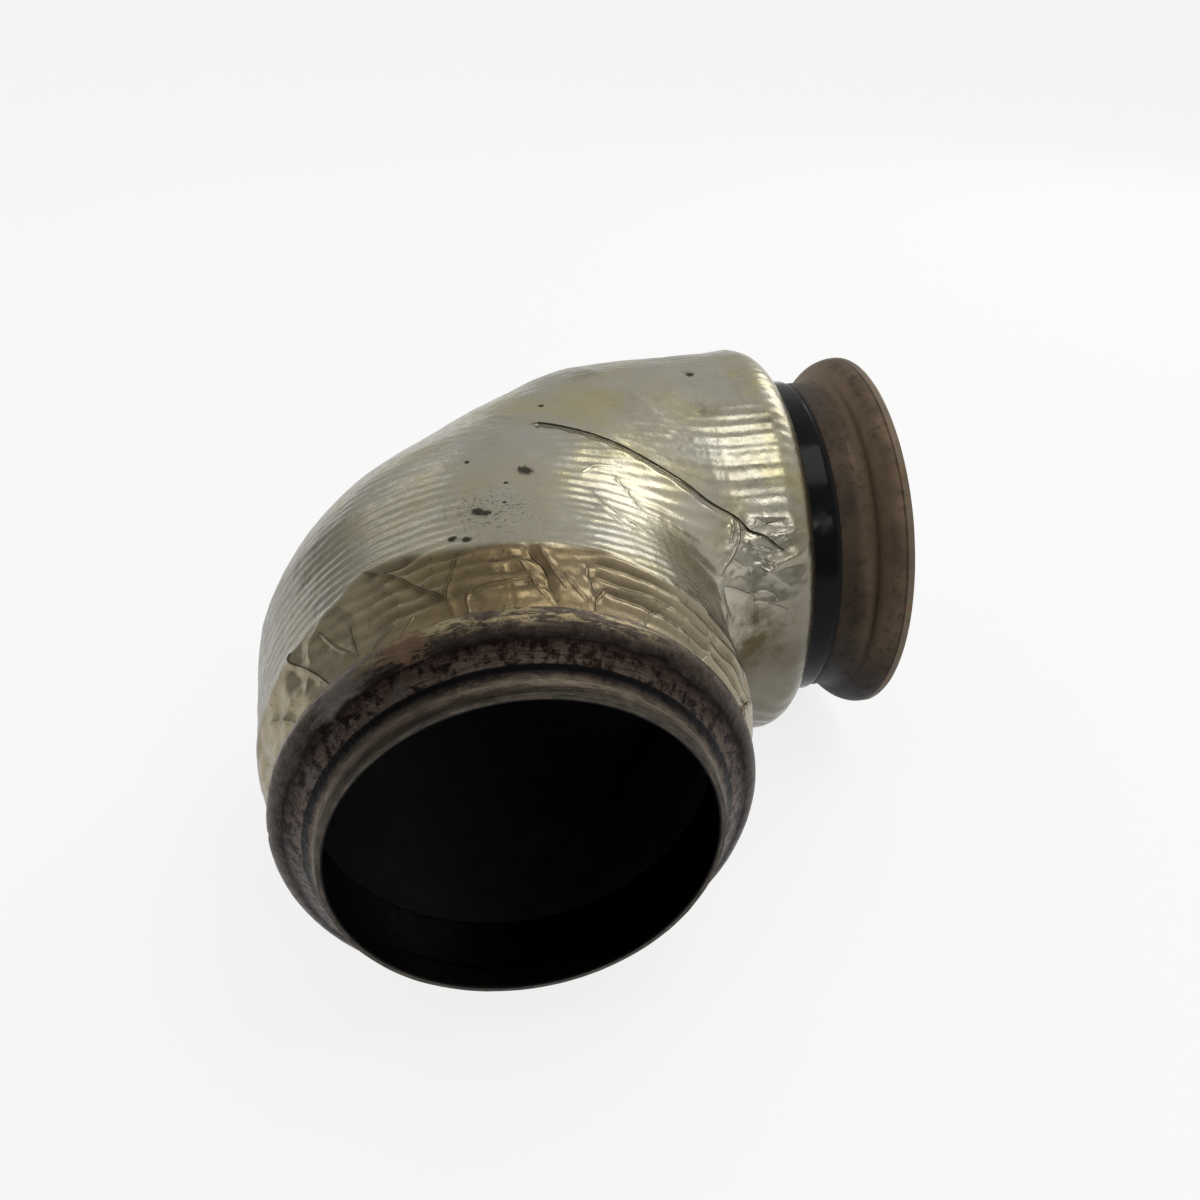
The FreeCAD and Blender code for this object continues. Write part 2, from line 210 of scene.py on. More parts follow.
def add_world():
    """A soft sky, darker in front of the part, on its left and near the horizon."""
    world = bpy.data.worlds.new("studio")
    world.use_nodes = True
    bpy.context.scene.world = world
    sky = Shader("studio", world.node_tree)
    parts = sky.parts(sky.add("ShaderNodeTexCoord").outputs["Generated"])
    depth = sky.remap(parts["Y"], -0.8, 0.4, 0.37, 0.67)
    side = sky.remap(parts["X"], -1.0, 1.0, 0.60, 1.35)
    height = sky.remap(parts["Z"], 0.0, 0.45, 0.70, 1.0)
    shade = sky.times(side, height, depth)
    soft = sky.add("ShaderNodeBackground", {"Color": rgb(1.0, 0.99, 0.975), "Strength": shade})
    sky.add("ShaderNodeOutputWorld", {"Surface": soft.outputs[0]})


def add_floor():
    """Pale paper that glows a little where the camera and mirror-like surfaces see it."""
    half = 9.0
    corners = [(-half, -half), (half, -half), (half, half), (-half, half)]
    mesh = bpy.data.meshes.new("floor")
    mesh.from_pydata([(x, y, FLOOR_Z * MM) for x, y in corners], [], [(0, 1, 2, 3)])
    floor = new_object("floor", mesh)
    shader = Shader("floor_paper")
    grain = shader.noise(shader.millimetres(), 0.8)
    tone = shader.mix(grain, rgb(0.93, 0.93, 0.925), rgb(0.96, 0.96, 0.955))
    paper = shader.add("ShaderNodeBsdfDiffuse", {"Color": tone})
    glow = shader.add("ShaderNodeEmission", {"Color": rgb(1, 1, 1), "Strength": 1.0})
    path = shader.add("ShaderNodeLightPath")
    seen = shader.math("MAXIMUM", path.outputs["Is Camera Ray"], path.outputs["Is Glossy Ray"])
    seen = shader.math("MAXIMUM", seen, path.outputs["Is Transmission Ray"])
    share = shader.times(seen, 0.82)
    both = shader.add("ShaderNodeMixShader", {0: share, 1: paper.outputs[0], 2: glow.outputs[0]})
    shader.add("ShaderNodeOutputMaterial", {"Surface": both.outputs[0]})
    mesh.materials.append(shader.material)


# Places on the elbow, and noise

def surface_point(station, angle, radius):
    """The place at a radius from the centreline, for arrays of stations and angles in degrees."""
    turn = np.clip(station, 0, BEND_LENGTH) / BEND_R
    past = np.maximum(station - BEND_LENGTH, 0)
    before = np.minimum(station, 0)
    lean = radius * np.cos(np.radians(angle))
    x = BEND_R - (BEND_R - lean) * np.cos(turn) + past
    y = INLET_REACH + (BEND_R - lean) * np.sin(turn) + before
    z = radius * np.sin(np.radians(angle))
    return np.stack([x, y, z], -1)


def smooth(value, low, high):
    t = np.clip((value - low) / (high - low), 0, 1)
    return t * t * (3 - 2 * t)


def bell(value, middle, width):
    return np.exp(-((value - middle) / width) ** 2)


def arch(share):
    """0 at both ends of a line and 1 in its middle."""
    return np.sqrt(np.clip(4 * share * (1 - share), 0, 1))


def angle_gap(angle, middle):
    """How far an angle lies from another one, from -180 to 180."""
    return (angle - middle + 180) % 360 - 180


def lattice(ix, iy, iz, seed):
    """Fixed values from -1 to 1 at places given by whole numbers."""
    n = ix * 374761393 + iy * 668265263 + iz * 974634777 + seed * 362437
    n = n & 0xFFFFFFFF
    n = ((n ^ (n >> 13)) * 1274126177) & 0xFFFFFFFF
    return (n ^ (n >> 16)) / 0xFFFFFFFF * 2 - 1


def value_noise(points, seed):
    whole = np.floor(points).astype(np.int64)
    part = points - whole
    part = part * part * part * (part * (part * 6 - 15) + 10)
    total = 0
    for corner in range(8):
        step = np.array([corner & 1, corner >> 1 & 1, corner >> 2 & 1])
        share = np.prod(np.where(step, part, 1 - part), axis=-1)
        node = whole + step
        total = total + share * lattice(node[..., 0], node[..., 1], node[..., 2], seed)
    return total


def noise(points, cell, seed, octaves=2):
    """Smooth noise from -1 to 1 whose largest features are a cell wide."""
    total, weight, reach = 0, 1.0, 0.0
    for octave in range(octaves):
        total = total + weight * value_noise(points / cell * 2 ** octave, seed + octave)
        reach += weight
        weight *= 0.5
    return total / reach


# Shape of the foil

# The fold where the neck starts: angle over the section and station
CREST = ((-180, -27.5), (-150, -27), (-110, -28), (-70, -27), (-30, -28.5), (0, -30.5), (25, -31),
         (40, -29.4), (55, -28.9), (68, -26.5), (82, -27.3), (95, -27.4), (104, -25.2),
         (110, -21.4), (118, -21.0), (127, -26.6), (136, -28.8), (143, -28.5), (160, -28),
         (180, -27.5))

# How far the foil stands out or in along the silhouette: station, amount, angle of its middle
BULGES = ((-32, -1.6, 165), (-25, -1.8, 165), (-12, -1.0, 160), (0, 0.0, 160), (5.6, 1.5, 157),
          (10.3, 2.6, 154), (17.5, 2.5, 150), (26, 1.8, 144), (37, 0.4, 138), (44, -0.9, 133),
          (54, -2.4, 128), (64, -3.1, 125), (75, -2.5, 121), (88, -1.7, 118), (95, -0.3, 117),
          (103, 0.4, 115), (109, -0.2, 114), (121, -0.8, 113), (134, -1.6, 112), (148, -1.3, 111),
          (157, -0.3, 111), (170, 0.0, 111))

# The dart's edge, where the foil above lies over the foil below: station and angle
SEAM = ((55.5, 88.5), (58.4, 87.4), (59.9, 84.8), (62.2, 79.4), (66.4, 72.8), (72.2, 64.9),
        (79.4, 57.2), (90.2, 50.2), (104.6, 43.0), (128.6, 37.4), (146.5, 32.5), (152.1, 29.4),
        (155.6, 27.4))

# Creases: points (station, angle), width and height in mm (a groove is below 0), share of the
# painted shadow line
CREASES = (
    (((-20.8, 119.1), (-27.2, 113.1), (-34.8, 108.2), (-42.3, 102.7), (-47.7, 101.7)),
     0.9, 0.75, 1.0),
    (((-28.2, 98.3), (-32.9, 99.8), (-38.7, 101.9), (-42.3, 102.7)), 0.8, 0.6, 0.9),
    (((-48.2, 98.1), (-43.6, 98.2), (-41.4, 96.0), (-39.5, 84.5)), 1.3, 0.7, 0.3),
    (((-29.0, 84.5), (-32.6, 83.3), (-36.6, 81.0), (-41.6, 80.1), (-48.6, 78.2)), 0.9, -1.0, 0.9),
    (((-28.5, 82.0), (-32.1, 80.7), (-36.4, 79.1), (-41.9, 76.5)), 1.1, 0.9, 0.5),
    (((-32.0, 87.2), (-37.4, 84.4), (-42.4, 82.8), (-45.9, 80.4)), 1.2, 0.8, 0.2),
    (((-33.0, 71.6), (-39.8, 70.7), (-43.5, 70.1), (-48.1, 70.3)), 0.8, -0.8, 0.9),
    (((-44.5, 70.2), (-42.6, 68.8), (-40.2, 67.2), (-39.2, 61.3), (-38.1, 55.0)), 1.2, 0.6, 0.4),
    (((-36.5, 76.6), (-40.8, 74.8), (-45.5, 71.8)), 1.1, 0.7, 0.2),
    (((-43.6, 114.3), (-45.4, 117.5), (-47.2, 121.0)), 1.0, 0.7, 0.2),
    (((-44.0, 110.0), (-46.0, 111.6), (-48.2, 113.9)), 0.9, 0.6, 0.2),
    (((-35.1, 125.1), (-41.3, 125.1), (-46.4, 124.8)), 0.7, -0.5, 0.9),
    (((-31.4, 132.0), (-38.9, 129.3), (-46.4, 124.8)), 1.0, 0.8, 0.8),
    (((-28.1, 141.1), (-30.6, 142.3), (-36.5, 139.0), (-43.3, 135.7), (-48.6, 133.7)),
     0.9, 0.8, 1.0),
    (((-46.0, 148.0), (-40.0, 152.0), (-33.0, 158.0)), 1.4, 0.8, 0.3),
    (((-48.0, 163.0), (-42.0, 165.0), (-33.0, 170.0)), 1.3, -0.7, 0.4),
    (((-48.0, 186.0), (-40.0, 182.0), (-31.0, 184.0)), 1.4, 0.9, 0.3),
    (((-48.0, 215.0), (-41.0, 209.0), (-30.0, 205.0)), 1.2, -0.8, 0.5),
    (((-48.0, 243.0), (-40.0, 246.0), (-30.0, 241.0)), 1.3, 0.8, 0.4),
    (((-48.0, 276.0), (-42.0, 271.0), (-31.0, 274.0)), 1.3, -0.8, 0.4),
    (((-48.0, 305.0), (-41.0, 309.0), (-31.0, 304.0)), 1.3, 0.9, 0.4),
    (((-48.0, 338.0), (-42.0, 334.0), (-33.0, 337.0)), 1.2, -0.7, 0.5),
    (((-48.0, 12.0), (-43.0, 16.0), (-36.0, 14.0)), 1.2, 0.7, 0.3),
    (((-48.5, 40.0), (-43.0, 37.5), (-35.0, 39.0)), 1.3, 0.6, 0.3),
    (((-48.0, 58.0), (-42.5, 56.0), (-36.0, 50.5)), 1.2, -0.5, 0.3),
    (((130.3, 37.3), (129.5, 33.6), (118.9, 29.8), (101.6, 27.0), (84.0, 25.2), (75.0, 24.8)),
     0.9, 0.7, 0.7),
    (((124.4, 37.2), (121.9, 34.5), (112.3, 31.3)), 1.0, 0.6, 0.3),
    (((107.4, 27.6), (123.9, 25.4), (141.8, 24.4)), 1.7, 1.0, 0.2),
    (((145.0, 27.8), (149.1, 25.6), (152.0, 23.4)), 1.6, 0.9, 0.1),
    (((145.7, 24.2), (150.7, 21.7), (157.0, 17.9)), 1.7, 0.9, 0.1),
    (((73.7, 22.0), (101.8, 19.8), (132.2, 17.5), (148.0, 17.6), (151.8, 15.1)), 1.3, 0.8, 0.6),
    (((131.8, 16.5), (148.0, 14.4), (155.4, 12.2)), 1.7, 0.9, 0.2),
    (((139.4, 31.0), (144.4, 29.7), (150.2, 28.1)), 1.5, 0.6, 0.2),
    (((73.7, 22.0), (66.0, 20.0), (58.0, 15.0)), 1.0, 0.5, 0.6),
    (((134.0, 24.0), (138.0, 20.0), (141.0, 15.0), (143.0, 8.0)), 1.4, -0.9, 0.4),
    (((42.8, 62.2), (36.0, 57.4), (25.0, 52.9)), 0.9, 0.35, 0.3),
    (((16.1, 65.9), (6.8, 62.5), (0.8, 57.3), (-2.8, 52.5)), 1.0, 0.5, 0.5),
    (((2.0, 66.5), (-2.0, 62.8), (-5.5, 56.7)), 1.0, 0.35, 0.3),
    (((29.6, 69.4), (41.5, 67.2), (54.9, 62.0)), 1.2, 0.3, 0.1),
)

RIB_PITCH = 4.5
RIB_HEIGHT = 0.26
RIB_SHARPNESS = 1.3
LOWER_TILT = math.radians(15)
CROSS_PITCH = 5.2
CROSS_DEPTH = 0.05
NECK_RIB_HEIGHT = 0.85
CRUMPLE_HEIGHT = 1.6
BODY_MIDDLE = 66.0
FOIL_GAP = 2.2
SEAM_POINTS = 190
CREASE_POINTS = 40
LINE_REACH = 8.0
FAR = 1e3


def crest_station(angle):
    knots = np.array(CREST)
    wrapped = (angle + 180) % 360 - 180
    return np.interp(wrapped, knots[:, 0], knots[:, 1])


def nominal_radius(station, angle):
    """The jacket's own form: a round tube with a sloped neck and a turned-in end."""
    crest = crest_station(angle)
    slope = (JACKET_R - FOOT_R) / (crest - FOOT_STATION)
    on_neck = FOOT_R + slope * (station - FOOT_STATION)
    over = on_neck - JACKET_R
    softness = 0.55
    rounded = JACKET_R - softness * np.logaddexp(0, -over / softness)
    run = np.clip(station - TURN_IN_STATION, 0, TURN_IN_RUN)
    return rounded - (TURN_IN_R - np.sqrt(TURN_IN_R ** 2 - run ** 2))


def bulge(station, angle):
    knots = np.array(BULGES)
    amount = np.interp(station, knots[:, 0], knots[:, 1])
    middle = np.interp(station, knots[:, 0], knots[:, 2])
    gap = angle_gap(angle, middle)
    return amount * np.exp(-(gap / 30) ** 2 / 2)


def seam_angle(station):
    knots = np.array(SEAM)
    return np.interp(station, knots[:, 0], knots[:, 1])


def line_points(knots, count=24):
    """A smooth curve through the knots, evenly divided by knot number."""
    knots = np.array(knots, float)
    ends = np.vstack([2 * knots[0] - knots[1], knots, 2 * knots[-1] - knots[-2]])
    places = np.linspace(0, len(knots) - 1, count)
    whole = np.minimum(places.astype(int), len(knots) - 2)
    t = (places - whole)[:, None]
    a, b, c, d = (ends[whole + k] for k in range(4))
    return 0.5 * (2 * b + (c - a) * t + (2 * a - 5 * b + 4 * c - d) * t ** 2
                  + (3 * b - a - 3 * c + d) * t ** 3)


def near_line(points, knots):
    """Distance of each point from a line on the foil in mm, and the share along the line."""
    line = line_points(knots)
    path = surface_point(line[:, 0], line[:, 1], nominal_radius(line[:, 0], line[:, 1]))
    distance = np.full(len(points), FAR)
    share = np.zeros(len(points))
    inside = np.all((points > path.min(0) - LINE_REACH)
                    & (points < path.max(0) + LINE_REACH), axis=1)
    chosen = np.nonzero(inside)[0]
    if not len(chosen):
        return distance, share
    best = np.full(len(chosen), FAR)
    along = np.zeros(len(chosen))
    for number, (start, end) in enumerate(zip(path[:-1], path[1:])):
        step = end - start
        t = np.clip(((points[chosen] - start) @ step) / (step @ step), 0, 1)
        gap = np.linalg.norm(points[chosen] - start - t[:, None] * step, axis=1)
        closer = gap < best
        best[closer] = gap[closer]
        along[closer] = (number + t[closer]) / (len(path) - 1)
    distance[chosen] = best
    share[chosen] = along
    return distance, share


def dart_size(share):
    """How far the dart's edge has opened, from its start at 0 to its end at 1."""
    return np.minimum(smooth(share, 0, 0.08), smooth(1 - share, 0, 0.05)) * 0.8 + 0.2


def below_seam(station, angle):
    """1 on the foil under the dart's edge, 0 on the foil above it, and blended ahead of it."""
    width = 2.0 + 26.0 * (1 - smooth(station, 30, 60))
    edge = seam_angle(np.maximum(station, 55.5)) - 12 * (1 - smooth(station, 20, 58))
    return smooth(edge - angle_gap(angle, 0), -width, width)


def wave(length, pitch=RIB_PITCH):
    """Height of even ribs from 0 to 1, with a crest at length 0."""
    return 0.5 + 0.5 * np.cos(2 * np.pi * length / pitch)


def ribs(place, below):
    """Height of the ribs from 0 to 1: straight above the dart's edge, tilted below it."""
    tilted = ((place[:, 1] - 150) * math.cos(LOWER_TILT)
              - (place[:, 0] - 60) * math.sin(LOWER_TILT))
    return (wave(place[:, 1]) ** RIB_SHARPNESS * (1 - below)
            + wave(tilted) ** RIB_SHARPNESS * below)


def crumples(place):
    """Sharp folds of crumpled foil, about -1 to 0.5."""
    folds = place @ np.array([[0.5, 0.0, -0.2], [0.0, 0.6, 0.0], [0.3, 0.0, 1.0]])
    return 0.5 - np.abs(noise(folds, 9, 31)) - 0.55 * np.abs(noise(folds, 4.2, 33))


def foil(station, angle):
    """Radius of the dressed foil, and the marks that its material reads as shares from 0 to 1.

    neck, crease (painted shadow lines along the creases and the dart's edge), patch (crumpled
    foil by the outlet), valley (painted shade in the valleys between the ribs of the neck)
    and tan (browned foil on the neck and just behind it).
    """
    plain = surface_point(station, angle, nominal_radius(station, angle))
    from_inside = angle_gap(angle, 0)
    crest = crest_station(angle)
    neck = smooth(crest + 0.5 - station, 0, 2.5)
    foot = smooth(station - FOOT_STATION, 0, 7)
    end = smooth(TURN_IN_STATION + 11 - station, 0, 8)
    body = (1 - neck) * end
    swell = neck * foot
    below = below_seam(station, angle)
    patch = (smooth(station, 72, 112) * smooth(178 - station, 0, 12)
             * smooth(38 - from_inside, -2, 6) * smooth(angle_gap(angle, 4), -12, 10))
    seam_distance, seam_share = near_line(plain, SEAM)

    faded = (0.75 * bell(station, 6, 34) * bell(angle, 88, 21)
             + 0.5 * bell(station, 60, 30) * bell(angle, 106, 16)
             + 0.45 * bell(station, 130, 45) * bell(angle, 95, 18))
    waffle = smooth(station, 78, 100) * bell(angle, 55, 22)
    rib_share = np.clip(0.72 + 0.55 * noise(plain, 26, 11) - faded + 0.55 * below, 0.12, 1.35)
    rib_share = np.maximum(rib_share, 1.15 * waffle)
    rib_share *= (1 - 0.6 * patch) * (1 - 0.9 * np.exp(-(seam_distance / 1.8) ** 2))

    radius = nominal_radius(station, angle) + bulge(station, angle)
    radius += 0.45 * noise(plain, 42, 3) * end * foot
    radius -= RIB_HEIGHT * rib_share * (1 - ribs(plain, below)) * body
    cross = (1 - wave(plain[:, 0], CROSS_PITCH)) ** 3
    radius -= CROSS_DEPTH * waffle * cross * (1 - patch) * body
    radius += patch * smooth(from_inside, 2, 24) * end * CRUMPLE_HEIGHT * crumples(plain)
    radius += (0.16 * noise(plain, 7, 41, 2) + 0.25 * noise(plain, 19, 45)) * body
    inner_side = bell(from_inside, 0, 35) * smooth(station, 50, 90)
    radius += 0.5 * noise(plain, 15, 49) * inner_side * end

    neck_ribs = wave(plain[:, 1] + 1.3 * noise(plain, 17, 21))
    strength = np.clip(0.75 + 0.9 * noise(plain, 18, 5), 0.2, 1.0)
    strength *= 1 - 0.65 * smooth(angle, 106, 122)
    radius += swell * (NECK_RIB_HEIGHT * neck_ribs * strength - 0.4)
    radius += swell * 0.8 * noise(plain, 11, 8, 3)
    outer_neck = swell * smooth(angle, 100, 118)
    radius += 0.9 * outer_neck * (0.5 - 2 * np.abs(noise(plain, 12, 53)))
    bead = 0.4 + 0.3 * bell(angle, 125, 20)
    radius += bead * bell(station, crest, 1.7) * np.clip(0.6 + noise(plain, 12, 47), 0, 1)

    dark = np.zeros(len(station))
    for knots, width, height, line in CREASES:
        distance, share = near_line(plain, knots)
        taper = arch(share) * 0.7 + 0.3
        radius += 0.75 * height * taper * np.exp(-(distance / (1.5 * width)) ** 2)
        # Painted shadow: a dark line along each crease
        dark = np.maximum(dark, 0.35 * line * taper * np.exp(-(distance / width) ** 2))
    under = smooth(seam_angle(station) - from_inside, -0.6, 0.6)
    radius -= 0.9 * bell(seam_distance * (1 - 2 * under), -1.2, 1.3) * dart_size(seam_share)
    browned = smooth(crest + 7 + 5 * noise(plain, 12, 51) - station, 0, 16)
    marks = {
        "neck": neck,
        "crease": dark,
        "patch": patch,
        # Painted shade in the valleys between the neck's ribs
        "valley": swell * strength * (1 - neck_ribs) ** 1.5,
        "tan": browned * (1 - neck) + neck,
    }
    return radius, marks


def spaced_angles(fine_from, fine_to, fine_step, coarse_step):
    """Angles round the section, dense from fine_from to fine_to."""
    fine = np.arange(fine_from, fine_to, fine_step)
    count = max(int((360 - (fine[-1] - fine[0])) / coarse_step), 3)
    coarse = np.linspace(fine[-1], fine[0] + 360, count + 1)[1:-1]
    return np.concatenate([fine, coarse])


def quads(*corners):
    """Faces from four arrays of point numbers."""
    return np.stack(corners, -1).tolist()


def join_rings(first, first_start, second, second_start):
    """Faces between two closed rings of angles, both running from about the same angle."""
    count, other = len(first), len(second)
    if count == other and np.allclose(first, second):
        here = np.arange(count)
        ahead = (here + 1) % count
        return quads(first_start + here, second_start + here,
                     second_start + ahead, first_start + ahead)
    faces = []
    i = j = 0
    while i < count or j < other:
        next_first = first[i + 1] if i + 1 < count else first[0] + 360 if i < count else 1e9
        next_second = second[j + 1] if j + 1 < other else second[0] + 360 if j < other else 1e9
        a, b = first_start + i % count, second_start + j % other
        if next_first <= next_second:
            faces.append((a, b, first_start + (i + 1) % count))
            i += 1
        else:
            faces.append((a, b, second_start + (j + 1) % other))
            j += 1
    return faces


def make_object(name, points, faces, marks=None):
    mesh = bpy.data.meshes.new(name)
    mesh.from_pydata((np.asarray(points) * MM).tolist(), [], faces)
    mesh.update()
    mesh.shade_smooth()
    for key, values in (marks or {}).items():
        layer = mesh.attributes.new(key, "FLOAT", "POINT")
        layer.data.foreach_set("value", np.asarray(values, np.float32))
    return new_object(name, mesh)


def shell(name, rows, shape):
    """A closed skin from rings (stations, angles, inset), where shape gives radius and marks."""
    stations = np.concatenate([row[0] for row in rows])
    angles = np.concatenate([row[1] for row in rows])
    insets = np.concatenate([np.full(len(row[1]), row[2]) for row in rows])
    radius, marks = shape(stations, angles)
    points = surface_point(stations, angles, radius - insets)
    points[:, 0] = np.maximum(points[:, 0], -JACKET_R)
    points[:, 1] = np.minimum(points[:, 1], OUTLET_AXIS_Y + JACKET_R)
    points[:, 2] = np.clip(points[:, 2], FLOOR_Z + 0.001, JACKET_TOP)
    starts = np.cumsum([0] + [len(row[1]) for row in rows])
    faces = []
    for number in range(len(rows)):
        follower = (number + 1) % len(rows)
        faces += join_rings(rows[number][1], int(starts[number]), rows[follower][1],
                            int(starts[follower]))
    return make_object(name, points, faces, marks)


def foil_rows():
    """Rings from the neck's foot over the body to the turned-in end, and back along the inside."""
    neck_angles = spaced_angles(20, 152, 0.5, 1.3)
    body_angles = spaced_angles(20, 172, 0.75, 1.75)
    far_angles = spaced_angles(-12, 165, 0.62, 0.95)
    inner_angles = spaced_angles(0, 120, 4.0, 4.0)
    rows = [(np.full(len(neck_angles), FOOT_STATION), neck_angles, 0.0)]

    def add_rings(start, end, steps, angles):
        for step in range(1, steps + 1):
            station = start + (end - start) * step / steps
            rows.append((np.full(len(angles), station), angles, 0.0))

    add_rings(FOOT_STATION, crest_station(neck_angles), 40, neck_angles)
    add_rings(crest_station(body_angles), BODY_MIDDLE, 108, body_angles)
    add_rings(BODY_MIDDLE, TURN_IN_STATION, 66, far_angles)
    steps = 13
    full_turn = math.asin(TURN_IN_RUN / TURN_IN_R)
    for step in range(1, steps + 1):
        station = TURN_IN_STATION + TURN_IN_R * math.sin(full_turn * step / steps)
        rows.append((np.full(len(far_angles), station), far_angles, 0.0))
    inside = [(JACKET_END, 0.5), (JACKET_END - 0.1, 1.0), (JACKET_END - 0.6, 1.3)]
    inside += [(station, 1.4) for station in np.linspace(JACKET_END - 3, FOOT_STATION + 3, 30)]
    inside += [(FOOT_STATION + 0.5, 1.3), (FOOT_STATION + 0.1, 1.0)]
    for station, inset in inside:
        rows.append((np.full(len(inner_angles), station), inner_angles, inset))
    return rows


def ribbon(knots, section, dark, count, size):
    """A narrow closed strip along a line on the foil, from its section's (sideways, height) points.

    dark holds the share of painted shadow at each point of the section, and size scales the
    section.
    """
    line = line_points(knots, count)
    station, angle = line[:, 0], line[:, 1]
    stretch = np.where((station > 0) & (station < BEND_LENGTH),
                       1 - JACKET_R * np.cos(np.radians(angle)) / BEND_R, 1.0)
    along = np.gradient(station) * stretch
    across = np.gradient(np.radians(angle)) * JACKET_R
    length = np.hypot(along, across)
    stations, angles, heights, painted_shadow = [], [], [], []
    for (sideways, height), share in zip(section, dark):
        stations.append(station - across / length * sideways / stretch * size)
        angles.append(angle + np.degrees(along / length * sideways / JACKET_R) * size)
        heights.append(np.where(height < 0, height, height * size))
        painted_shadow.append(np.full(count, share))
    faces = []
    width = len(section)
    for row in range(count - 1):
        for k in range(width):
            ahead = (k + 1) % width
            faces.append((row * width + k, row * width + ahead,
                          (row + 1) * width + ahead, (row + 1) * width + k))
    faces.append(tuple(range(width - 1, -1, -1)))
    faces.append(tuple(range((count - 1) * width, count * width)))
    parts = [np.stack(part, 1).reshape(-1) for part in (stations, angles, heights, painted_shadow)]
    return parts, faces


def add_folds(name, strips):
    """One object from ribbons that lie on the foil."""
    columns, faces, first = [], [], 0
    for parts, strip_faces in strips:
        columns.append(np.stack(parts))
        faces += [tuple(first + corner for corner in face) for face in strip_faces]
        first += len(parts[0])
    station, angle, height, painted_shadow = np.concatenate(columns, 1)
    radius, marks = foil(station, angle)
    points = surface_point(station, angle, radius + height)
    # The ribbons carry their own painted shadow lines
    marks["crease"] = np.maximum(marks["crease"], painted_shadow)
    return make_object(name, points, faces, marks)


def add_dart_fold():
    """The overlap's edge and a painted shadow strip along it where the gap is."""
    section = ((8.0, -0.5), (5.0, -0.05), (2.5, 0.06), (1.0, 0.15), (0.25, 0.38), (0.05, 0.42),
               (0.0, 0.38), (-0.02, 0.26), (-0.3, 0.27), (-0.45, 0.28), (-0.7, 0.30), (-1.3, -0.2),
               (-1.3, -1.1), (6.0, -1.1))
    dark = (0, 0, 0, 0, 0, 0.3, 0.8, 1, 1, 1, 0.3, 0, 0, 0)
    size = dart_size(np.linspace(0, 1, SEAM_POINTS))
    return add_folds("foil_dart_fold", [ribbon(SEAM, section, dark, SEAM_POINTS, size)])


def add_creases():
    """Sharp edges of the foil's creases: a low ridge and a painted shadow line beside it."""
    strips = []
    for knots, width, height, line in CREASES:
        section = ((-1.7, -0.25), (-1.0, 0.05), (-0.4, 0.16), (-0.08, 0.26), (0.05, 0.22),
                   (0.12, 0.09), (0.45, 0.08), (0.65, -0.25), (0.6, -0.8), (-1.6, -0.8))
        dark = [line * share for share in (0, 0, 0, 0.1, 0.5, 1, 1, 0.6, 0, 0)]
        taper = 0.35 + 0.65 * arch(np.linspace(0, 1, CREASE_POINTS))
        size = taper * (0.55 + 0.35 * width)
        strips.append(ribbon(knots, section, dark, CREASE_POINTS, size))
    return add_folds("foil_creases", strips)


def add_blanket():
    """Fibre between the tube and the foil, following the foil's dents from inside."""
    angles = spaced_angles(0, 120, 3.0, 3.0)
    size = len(angles)
    stations = np.linspace(BLANKET_START, BLANKET_END, 60)
    points = []
    for station in stations:
        here = np.full(size, station)
        radius, _ = foil(here, angles)
        points.append(surface_point(here, angles, np.maximum(radius - FOIL_GAP, TUBE_R + 0.5)))
    for station in stations[::-1]:
        points.append(surface_point(np.full(size, station), angles, np.full(size, TUBE_R + 0.05)))
    faces = []
    for number in range(len(points)):
        follower = (number + 1) % len(points)
        faces += join_rings(angles, number * size, angles, follower * size)
    return make_object("insulation_blanket", np.concatenate(points), faces)


# Turned pieces

def arc_points(start, end, radius, turn, count=14):
    """Points on the arc of a radius from start to end, turning left (+1) or right (-1)."""
    start, end = np.array(start, float), np.array(end, float)
    chord = end - start
    left = np.array([-chord[1], chord[0]]) / np.linalg.norm(chord)
    rise = math.sqrt(radius ** 2 - (chord @ chord) / 4)
    centre = (start + end) / 2 + left * rise * turn
    first = math.atan2(*(start - centre)[::-1])
    last = math.atan2(*(end - centre)[::-1])
    if turn > 0 and last < first:
        last += 2 * math.pi
    if turn < 0 and last > first:
        last -= 2 * math.pi
    angles = np.linspace(first, last, count)
    return [(centre[0] + radius * math.cos(a), centre[1] + radius * math.sin(a)) for a in angles]


def softened(corners, bevel, spacing):
    """A closed outline with small bevels at its corners and points at most spacing apart."""
    corners = [np.array(corner, float) for corner in corners]
    outline = []
    for number, corner in enumerate(corners):
        before, after = corners[number - 1], corners[(number + 1) % len(corners)]
        inward, outward = before - corner, after - corner
        a, b = np.linalg.norm(inward), np.linalg.norm(outward)
        bend = np.degrees(np.arccos(np.clip(inward @ outward / (a * b), -1, 1)))
        if bend > 160:
            outline.append(corner)
            continue
        cut = min(bevel, a * 0.4, b * 0.4)
        first, last = corner + inward / a * cut, corner + outward / b * cut
        middle = (first + last) / 4 + corner / 2
        outline += [first, middle, last]
    dense = []
    for number, point in enumerate(outline):
        following = outline[(number + 1) % len(outline)]
        gap = np.linalg.norm(following - point)
        pieces = max(1, math.ceil(gap / spacing))
        dense += [point + (following - point) * k / pieces for k in range(pieces)]
    return np.array(dense)


def turned(name, outline, place, columns, wear=None):
    """Turn an outline of (radius, along) points. place maps (radius, along, angle) to a point.

    wear says how far each point stands out from the outline.
    """
    turns = np.linspace(0, 2 * np.pi, columns, endpoint=False)
    radius = np.repeat(outline[:, 0], columns)
    along = np.repeat(outline[:, 1], columns)
    angle = np.tile(turns, len(outline))
    points = place(radius, along, angle)
    if wear is not None:
        points = place(radius + wear(points, radius, along), along, angle)
    rows = len(outline)
    ring = np.arange(columns)
    ahead = (ring + 1) % columns
    faces = []
    for row in range(rows):
        follower = (row + 1) % rows
        faces += quads(row * columns + ring, row * columns + ahead,
                       follower * columns + ahead, follower * columns + ring)
    return make_object(name, points, faces)


def on_inlet(radius, along, angle):
    return np.stack([radius * np.cos(angle), along, radius * np.sin(angle)], -1)


